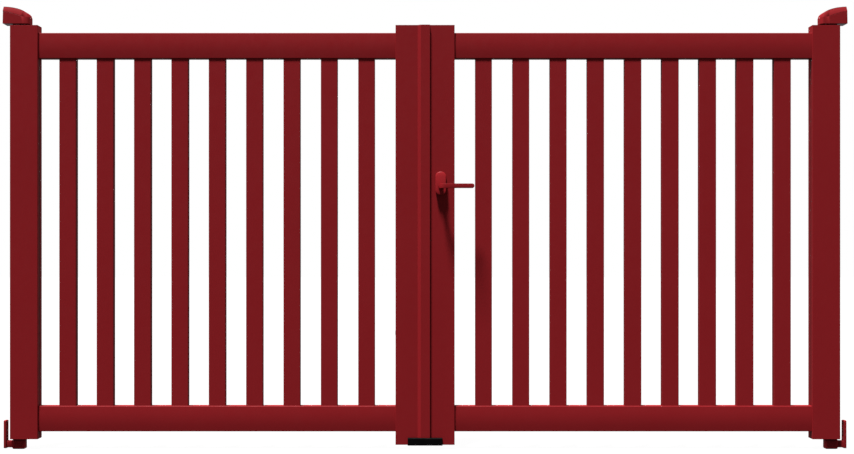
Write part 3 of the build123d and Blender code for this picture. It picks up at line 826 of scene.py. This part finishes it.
@dataclass
class HandleSet:
    """Curved plate and lever on one face of the right-hand leaf."""

    face: Face
    finishes: FinishShop
    plate_corner: float = 0.0170
    plate_edge: float = 0.0025
    edge_steps: int = 4
    plate_fall: float = 0.0095  # how far the plate's face curves back from foot to top
    fall_step: float = 0.0050
    bore_play: float = 0.00025
    bore_overrun: float = 0.01
    neck_radius: float = 0.0090
    neck_out: float = 0.0025  # round neck that stands out of the plate
    neck_edge: float = 0.0008
    thickness: float = 0.0120
    height: float = 0.0160
    bend: float = 0.0160
    bend_steps: int = 10
    tip_steps: int = 12
    grip_edge: float = 0.0031
    grub_radius: float = 0.0020
    screw_radius: float = 0.0045
    screw_play: float = 0.0001

    def __post_init__(self) -> None:
        """Find the spindle's axis and the faces that the set stands on."""
        low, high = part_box("handle_spindle")
        self.axis = (low + high) / 2
        self.out = self.face.outward

    def at(self, distance: float) -> Vector:
        """Point on the spindle's axis, at a distance from the leaf's middle."""
        return Vector((self.axis.x, self.face.value * distance, self.axis.z))

    def build_plate(self) -> Piece:
        """Make the plate: rounded block, eased, curved back towards its top and bored.

        Returns:
            The finished piece.
        """
        node = f"handle_plate_{self.face.word}"
        low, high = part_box(node)
        seat, crest = sorted((low.y, high.y), key=abs)
        rim = crest - self.face.value * self.plate_edge
        corner, opposite = Vector((low.x, seat, low.z)), Vector((high.x, rim, high.z))
        piece = Bench.block(f"{node}_domed", corner, opposite)
        rise = high.z - low.z
        radius = (rise**2 + self.plate_fall**2) / (2 * self.plate_fall)
        with Bench.editing(piece):
            Bench.pick(piece, "EDGE", lambda e: abs(e.verts[0].co.y - e.verts[1].co.y) > TINY)
            bpy.ops.mesh.bevel(offset=self.plate_corner, segments=12)
            Bench.pick_facing(piece, self.out)
            before = Vector((0.0, 0.0))
            for step in range(1, self.edge_steps + 1):
                turn = step / self.edge_steps * math.pi / 2
                now = self.plate_edge * Vector((1 - math.cos(turn), math.sin(turn)))
                bpy.ops.mesh.inset(thickness=now.x - before.x, depth=now.y - before.y)
                before = now
            for step in range(1, int(rise / self.fall_step)):
                bpy.ops.mesh.select_all(action="SELECT")
                level = low.z + step * self.fall_step
                bpy.ops.mesh.bisect(plane_co=(0, 0, level), plane_no=(0, 0, 1), threshold=TINY)
            Bench.pick(piece, "VERT", lambda vert: abs(vert.co.y - seat) > TINY)
            Bench.warp(
                piece,
                lambda place: place.z - low.z,
                lambda climb: (math.sqrt(radius**2 - climb**2) - radius) * self.out,
            )
        reach = self.face.value * 0.02
        tool = Bench.bar(
            "bore",
            self.neck_radius + self.bore_play,
            Vector((self.axis.x, seat - reach, self.axis.z)),
            Vector((self.axis.x, crest + reach, self.axis.z)),
            64,
        )
        Bench.carve(piece, tool)
        if self.face is Face.BACK:
            self.sink_screws(piece, crest)
        self.finishes.dress(piece, "coated_handle")
        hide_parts(node)
        Bench.hand_over(piece, "right_leaf")
        return piece

    def sink_screws(self, piece: Piece, crest: float) -> None:
        """Counterbore the plate for the heads of its two screws."""
        low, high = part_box("handle_screws")
        seat = high.y - PLATE_SCREW_HEAD
        inset = self.screw_radius - self.screw_play
        for level in (low.z + inset, high.z - inset):
            start = Vector((self.axis.x, seat, level))
            end = Vector((self.axis.x, crest + self.bore_overrun, level))
            Bench.carve(piece, Bench.bar("counterbore", self.screw_radius, start, end, 48))

    def build_lever(self) -> Piece:
        """Make the lever: a flat grip drawn round its bend, welded to a round neck.

        Returns:
            The finished piece.
        """
        node = f"handle_lever_{self.face.word}"
        low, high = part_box(node)
        plate_low, plate_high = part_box(f"handle_plate_{self.face.word}")
        start, far = sorted((abs(low.y), abs(high.y)))
        waist = max(abs(plate_low.y), abs(plate_high.y)) + self.neck_out
        piece = self.draw_grip(f"{node}_cast", waist - self.neck_out, far, high.x)
        profile = [
            (start, self.neck_radius),
            (waist - self.neck_edge, self.neck_radius),
            (waist, self.neck_radius - self.neck_edge),
        ]
        Bench.carve(piece, Bench.turned("neck", self.at(0), self.out, profile, 64), "UNION")
        grub = self.at(waist + self.grub_radius + self.neck_out)
        depth = Vector((0, 0, self.height / 2))
        Bench.carve(piece, Bench.bar("grub", self.grub_radius, grub - 1.5 * depth, grub - 0.5 * depth, 6))
        self.finishes.dress(piece, "coated_handle")
        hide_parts(node)
        Bench.hand_over(piece, "handle", 40.0)
        return piece

    def draw_grip(self, name: str, start: float, far: float, tip: float) -> Piece:
        """Draw the grip's section out, round the bend and along to the rounded tip.

        Args:
            name: The piece's name.
            start: Distance from the leaf's middle at which the section starts.
            far: Distance to the grip's outer face.
            tip: X of the tip.

        Returns:
            The closed grip with its edges rounded.
        """
        turn_start = far - self.thickness / 2 - self.bend
        half = Vector((self.thickness / 2, 0, self.height / 2))
        piece = Bench.block(name, self.at(start) - half, self.at(turn_start) + half)
        centre = self.at(turn_start) + Vector((self.bend, 0, 0))
        with Bench.editing(piece):
            Bench.pick_facing(piece, self.out)
            bpy.ops.mesh.delete(type="ONLY_FACE")
            Bench.pick(piece, "EDGE", lambda e: e.is_boundary)
            bpy.ops.mesh.spin(
                steps=self.bend_steps, angle=math.pi / 2, center=centre, axis=(0, 0, self.face.value)
            )
            Bench.pull(Vector((tip - centre.x, 0, 0)))
        Bench.close(piece)
        with Bench.editing(piece):
            Bench.pick(
                piece,
                "EDGE",
                lambda e: all(abs(v.co.x - tip) < TINY for v in e.verts)
                and abs(e.verts[0].co.z - e.verts[1].co.z) < TINY,
            )
            bpy.ops.mesh.bevel(offset=self.height / 2 * 0.999, segments=self.tip_steps)
        Bench.ease(piece, self.grip_edge, 5)
        return piece


# -------------------------------------------------------------------- screws


@dataclass
class Screw:
    """Screw with a hexagon socket, its axis on Z and its seat at the origin."""

    head_radius: float
    head_height: float  # 0 for a countersunk head that is flush with its seat
    shank_radius: float
    shank_length: float
    socket_radius: float = 0.0017
    socket_depth: float = 0.0013
    rim: float = 0.0005

    def profile(self) -> list[tuple[float, float]]:
        """Rings from the shank's end to the head's face."""
        shank = [
            (-self.shank_length, 0.7 * self.shank_radius),
            (-self.shank_length + 0.3 * self.shank_radius, self.shank_radius),
        ]
        if self.head_height > 0:
            top = self.head_height
            return shank + [
                (-TINY, self.shank_radius),
                (0.0, self.head_radius),
                (top - self.rim, self.head_radius),
                (top - 0.3 * self.rim, self.head_radius - 0.3 * self.rim),
                (top, self.head_radius - self.rim),
            ]
        cone = self.head_radius - self.shank_radius
        return shank + [
            (-cone - TINY, self.shank_radius),
            (-0.1 * self.rim, self.head_radius - 0.1 * self.rim),
            (0.0, self.head_radius - 0.4 * self.rim),
        ]

    def pattern(self) -> Piece:
        """Make the screw that the others are copied from."""
        piece = Bench.turned("screw_pattern", Vector((0, 0, 0)), Vector((0, 0, 1)), self.profile(), 32)
        top = Vector((0, 0, self.head_height))
        sunk = Vector((0, 0, self.socket_depth))
        Bench.carve(piece, Bench.bar("socket", self.socket_radius, top - sunk, top + sunk, 6))
        return piece


@dataclass
class ScrewRow:
    """Screws of one kind that stand for one node."""

    node: str
    body: str
    screw: Screw
    outward: Vector
    seats: list[Vector]
    finishes: FinishShop

    def build(self) -> list[Piece]:
        """Drive a copy of the screw at each seat, and put the pattern away."""
        pattern = self.screw.pattern()
        turn = self.outward.to_track_quat("Z", "Y").to_matrix().to_4x4()
        row = []
        for number, seat in enumerate(self.seats, start=1):
            data = pattern.data.copy()
            data.transform(Matrix.Translation(seat) @ turn)
            piece = bpy.data.objects.new(f"{self.node[:-1]}_{number}", data)
            bpy.context.scene.collection.objects.link(piece)
            self.finishes.dress(piece, "screw_steel")
            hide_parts(self.node)
            Bench.hand_over(piece, self.body)
            row.append(piece)
        bpy.data.objects.remove(pattern)
        return row


class Fasteners:
    """All the gate's screws that show."""

    guide_foot = 0.003  # thickness of a guide's foot
    guide_head = 0.0044  # radius of a guide screw's head
    plate_socket = 0.0019

    def __init__(self, finishes: FinishShop) -> None:
        """Keep the finishes that the screws are dressed from."""
        self.finishes = finishes

    def flush_row(self, node: str, body: str, outward: Vector) -> None:
        """Drive two countersunk screws, one above the other, in a plate in the meeting gap."""
        low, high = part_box(node)
        face = high.x if outward.x > 0 else low.x
        radius = (high.y - low.y) / 2
        middle = (low.y + high.y) / 2
        seats = [Vector((face, middle, level)) for level in (low.z + radius, high.z - radius)]
        screw = Screw(radius, 0.0, SHANK_RADIUS, high.x - low.x)
        ScrewRow(node, body, screw, outward, seats, self.finishes).build()

    def build(self) -> None:
        """Drive every row."""
        self.flush_row("strike_screws", "left_leaf", Vector((1, 0, 0)))
        self.flush_row("forend_screws", "right_leaf", Vector((-1, 0, 0)))
        self.guide_row()
        self.plate_row()

    def guide_row(self) -> None:
        """Drive the four pan-headed screws of the drop bolt's guides."""
        low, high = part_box("guide_screws")
        guides_low, guides_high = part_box("drop_bolt_guides")
        seat = guides_low.y + self.guide_foot
        radius = self.guide_head
        half_guide = (low.z + radius) - guides_low.z
        levels = (guides_low.z + half_guide, guides_high.z - half_guide)
        seats = [
            Vector((x, seat, level)) for level in levels for x in (low.x + radius, high.x - radius)
        ]
        screw = Screw(radius, high.y - seat, SHANK_RADIUS, seat - low.y)
        ScrewRow("guide_screws", "left_leaf", screw, Vector((0, 1, 0)), seats, self.finishes).build()

    def plate_row(self) -> None:
        """Drive the two long screws that clamp the handle plates."""
        low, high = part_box("handle_screws")
        radius = (high.x - low.x) / 2
        seat = high.y - PLATE_SCREW_HEAD
        middle = (low.x + high.x) / 2
        seats = [Vector((middle, seat, level)) for level in (low.z + radius, high.z - radius)]
        screw = Screw(radius, PLATE_SCREW_HEAD, SHANK_RADIUS, seat - low.y, self.plate_socket)
        ScrewRow("handle_screws", "right_leaf", screw, Vector((0, 1, 0)), seats, self.finishes).build()


# ---------------------------------------------------------------- stile caps


@dataclass
class StileCaps:
    """Plugs that close the two ends of a meeting stile."""

    side: Side
    finishes: FinishShop
    plug: float = 0.012
    rim: float = 0.0035
    dish: float = 0.0012
    dish_draft: tuple = (0.985, 0.97, 1.0)
    edge: float = 0.0006

    def build(self) -> list[Piece]:
        """Make both plugs, each with a shallow dish inside its rim."""
        node = f"{self.side.word}_meeting_stile_caps"
        low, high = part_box(node)
        rows = (
            ("lower", low, Vector((high.x, high.y, low.z + self.plug)), -1),
            ("upper", Vector((low.x, low.y, high.z - self.plug)), high, 1),
        )
        caps = []
        for word, corner, opposite, up in rows:
            piece = Bench.block(f"{self.side.word}_stile_cap_{word}", corner, opposite)
            with Bench.editing(piece):
                Bench.pick_facing(piece, Vector((0, 0, up)))
                bpy.ops.mesh.inset(thickness=self.rim, depth=0)
                Bench.pull(Vector((0, 0, -up * self.dish)))
                Bench.scale(self.dish_draft, (corner + opposite) / 2)
            Bench.ease(piece, self.edge, 2)
            self.finishes.dress(piece, "black_nylon")
            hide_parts(node)
            Bench.hand_over(piece, f"{self.side.word}_leaf")
            caps.append(piece)
        return caps


# ----------------------------------------------------------------- drop bolt


@dataclass
class DropBolt:
    """Rod behind the left meeting stile, its cross grip, knob and guides."""

    finishes: FinishShop
    rod_radius: float = 0.008
    nose_radius: float = 0.007
    nose_length: float = 0.030
    nose_taper: float = 0.0025
    grip_radius: float = 0.006
    knob_radius: float = 0.011
    knob_length: float = 0.020
    knob_groove: float = 0.0008
    knob_edge: float = 0.004
    edge_steps: int = 4
    top_edge: float = 0.0020
    top_rim: float = 0.0006
    guide_edge: float = 0.0009

    def __post_init__(self) -> None:
        """Find the rod's axis."""
        low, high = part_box("drop_bolt")
        guides_low, guides_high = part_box("drop_bolt_guides")
        self.x = (guides_low.x + guides_high.x) / 2
        self.y = (low.y + high.y) / 2

    def build(self) -> None:
        """Make the rod with its grip, the knob and the guides."""
        low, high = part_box("drop_bolt")
        grip_z = high.z - self.rod_radius - self.grip_radius
        self.build_rod(low, high, grip_z)
        self.build_knob(low, grip_z)
        guides = Bench.eased_copy("drop_bolt_guides", self.guide_edge)
        self.finishes.dress(guides, "galvanised_steel")
        Bench.hand_over(guides, "left_leaf")

    def build_rod(self, low: Vector, high: Vector, grip_z: float) -> None:
        """Turn the rod and weld the grip's arm to it.

        Args:
            low: Lowest corner of the bolt.
            high: Highest corner.
            grip_z: Height of the arm.
        """
        length = high.z - low.z
        shoulder = self.nose_length + self.rod_radius - self.nose_radius
        profile = [
            (0.0, self.nose_radius - self.nose_taper),
            (0.3 * self.nose_taper, self.nose_radius - 0.45 * self.nose_taper),
            (1.2 * self.nose_taper, self.nose_radius),
            (self.nose_length, self.nose_radius),
            (shoulder, self.rod_radius),
            (length - self.top_edge, self.rod_radius),
            (length - self.top_rim, self.rod_radius - self.top_rim),
            (length, self.rod_radius - self.top_edge),
        ]
        foot = Vector((self.x, self.y, low.z))
        rod = Bench.turned("drop_bolt_rod", foot, Vector((0, 0, 1)), profile)
        start = Vector((self.x, self.y, grip_z))
        end = Vector((low.x + self.knob_length / 2, self.y, grip_z))
        Bench.carve(rod, Bench.bar("grip_arm", self.grip_radius, start, end), "UNION")
        self.finishes.dress(rod, "galvanised_steel")
        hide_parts("drop_bolt")
        Bench.hand_over(rod, "drop_bolt_rod")

    def build_knob(self, low: Vector, grip_z: float) -> None:
        """Turn the grooved knob on the end of the arm.

        Args:
            low: Lowest corner of the bolt, where the knob's face is.
            grip_z: Height of the arm.
        """
        radius, length = self.knob_radius, self.knob_length
        edge = self.knob_edge
        profile = [(0.0, radius - edge)]
        for step in range(1, self.edge_steps + 1):
            turn = step / self.edge_steps * math.pi / 2
            profile.append((edge * (1 - math.cos(turn)), radius - edge * (1 - math.sin(turn))))
        for groove in (0.4, 0.5, 0.6):
            middle = groove * length
            profile += [
                (middle - self.knob_groove, radius),
                (middle, radius - self.knob_groove),
                (middle + self.knob_groove, radius),
            ]
        for step in range(self.edge_steps):
            turn = step / self.edge_steps * math.pi / 2
            profile.append((length - edge * (1 - math.sin(turn)), radius - edge * (1 - math.cos(turn))))
        profile.append((length, radius - edge))
        start = Vector((low.x, self.y, grip_z))
        knob = Bench.turned("drop_bolt_knob", start, Vector((1, 0, 0)), profile)
        self.finishes.dress(knob, "black_nylon")
        Bench.hand_over(knob, "drop_bolt_rod")


# ---------------------------------------------------------- pillar and meeting


@dataclass
class EasedFittings:
    """Plain fittings whose cut edges are softened by the coating or by tumbling."""

    finishes: FinishShop
    coated_edge: float = 0.0012
    bolt_edge: float = 0.0006
    strike_edge: float = 0.0004

    def build(self) -> None:
        """Ease the edges of each fitting."""
        rows = (
            ("left_bottom_hinge_bracket", "pillar_fixings", "powder_coat", self.coated_edge),
            ("right_bottom_hinge_bracket", "pillar_fixings", "powder_coat", self.coated_edge),
            ("latch_bolt", "latch", "stainless_steel", self.bolt_edge),
            ("strike_plate", "left_leaf", "stainless_steel", self.strike_edge),
        )
        for node, body, slot, width in rows:
            piece = Bench.eased_copy(node, width)
            self.finishes.dress(piece, slot)
            Bench.hand_over(piece, body)


# -------------------------------------------------------------------- studio


@dataclass
class Studio:
    """Pale floor, plain background, lights and camera."""

    floor_size: float = 60.0
    floor_drop: float = 0.0005
    floor_glow: float = 0.97
    floor_tones: tuple = ((0.030, 0.030, 0.030), (0.033, 0.033, 0.033))
    fill: float = 0.160
    key: float = 12.1
    key_from: tuple = (-0.153, -0.200, 0.968)
    key_spread: float = 8.5  # degrees
    back: float = 2.7
    back_from: tuple = (0.0, 0.97, 0.25)
    left: float = 2.2
    left_from: tuple = (-0.97, 0.0, 0.25)
    right: float = 1.3
    right_from: tuple = (0.97, 0.0, 0.25)
    fill_spread: float = 20.0
    camera_place: tuple = (-0.0146, -4.400, 0.7115)
    lens: float = 51.18
    shift: tuple = (0.0070, 0.0294)

    def build(self) -> None:
        """Set up the whole studio."""
        self.lay_floor()
        self.hang_background()
        self.hang_light("key", self.key, self.key_from, self.key_spread)
        for name, strength, place in (
            ("back_fill", self.back, self.back_from),
            ("left_fill", self.left, self.left_from),
            ("right_fill", self.right, self.right_from),
        ):
            self.hang_light(name, strength, place, self.fill_spread).visible_glossy = False
        self.stand_camera()
        bpy.context.scene.view_settings.view_transform = "Standard"

    def lay_floor(self) -> None:
        """Lay a pale floor just under the gate, which lights nothing."""
        Bench.take(None)
        foot = cad_box[0].z - self.floor_drop
        bpy.ops.mesh.primitive_plane_add(size=self.floor_size, location=(0, 0, foot))
        floor = Bench.settle("floor")
        board = NodeBoard("pale_floor")
        board.set(Roughness=0.9, Specular_IOR_Level=0.0, Emission_Strength=self.floor_glow)
        board.shader.inputs["Emission Color"].default_value = (1, 1, 1, 1)
        tone = board.spread(board.noise(0.7), 0.0, 1.0)
        board.feed("Base Color", board.blend(tone, *self.floor_tones))
        floor.data.materials.append(board.material)
        floor.visible_diffuse = floor.visible_glossy = floor.visible_shadow = False
        floor.visible_transmission = floor.visible_volume_scatter = False

    def hang_background(self) -> None:
        """Make the surroundings white to look at and dim as a light."""
        world = bpy.data.worlds.new("surroundings")
        bpy.context.scene.world = world
        world.use_nodes = True
        nodes, links = world.node_tree.nodes, world.node_tree.links
        dim = nodes["Background"]
        dim.inputs["Color"].default_value = (1, 1, 1, 1)
        dim.inputs["Strength"].default_value = self.fill
        white = nodes.new("ShaderNodeBackground")
        white.inputs["Color"].default_value = (1, 1, 1, 1)
        mix = nodes.new("ShaderNodeMixShader")
        links.new(nodes.new("ShaderNodeLightPath").outputs["Is Camera Ray"], mix.inputs["Fac"])
        links.new(dim.outputs["Background"], mix.inputs[1])
        links.new(white.outputs["Background"], mix.inputs[2])
        links.new(mix.outputs["Shader"], nodes["World Output"].inputs["Surface"])

    def hang_light(self, name: str, strength: float, place: tuple, spread: float) -> Piece:
        """Hang a soft distant light.

        Args:
            name: The light's name.
            strength: Its strength.
            place: Direction in which it hangs.
            spread: How wide it looks, in degrees.

        Returns:
            The lamp.
        """
        light = bpy.data.lights.new(name, "SUN")
        light.energy = strength
        light.angle = math.radians(spread)
        lamp = bpy.data.objects.new(name, light)
        lamp.rotation_euler = Vector(place).to_track_quat("Z", "Y").to_euler()
        bpy.context.scene.collection.objects.link(lamp)
        return lamp

    def stand_camera(self) -> None:
        """Stand the camera level in front of the gate, a little left of its middle."""
        camera = bpy.data.cameras.new("camera")
        camera.lens = self.lens
        camera.shift_x, camera.shift_y = self.shift
        stand = bpy.data.objects.new("camera", camera)
        stand.location = self.camera_place
        stand.rotation_euler = (math.pi / 2, 0, 0)
        bpy.context.scene.collection.objects.link(stand)
        bpy.context.scene.camera = stand


def main() -> None:
    """Dress the carried-over nodes, make the new pieces and set up the studio."""
    logging.basicConfig(level=logging.INFO, format="%(name)s: %(message)s", stream=sys.stdout)
    finishes = FinishShop()
    finishes.dress_carried(frame["nodes"])
    for side in Side:
        HingeCover(side, finishes).build()
        StileCaps(side, finishes).build()
    for face in Face:
        handle = HandleSet(face, finishes)
        handle.build_plate()
        handle.build_lever()
    Fasteners(finishes).build()
    DropBolt(finishes).build()
    EasedFittings(finishes).build()
    Studio().build()


if __name__ == "__main__":
    main()
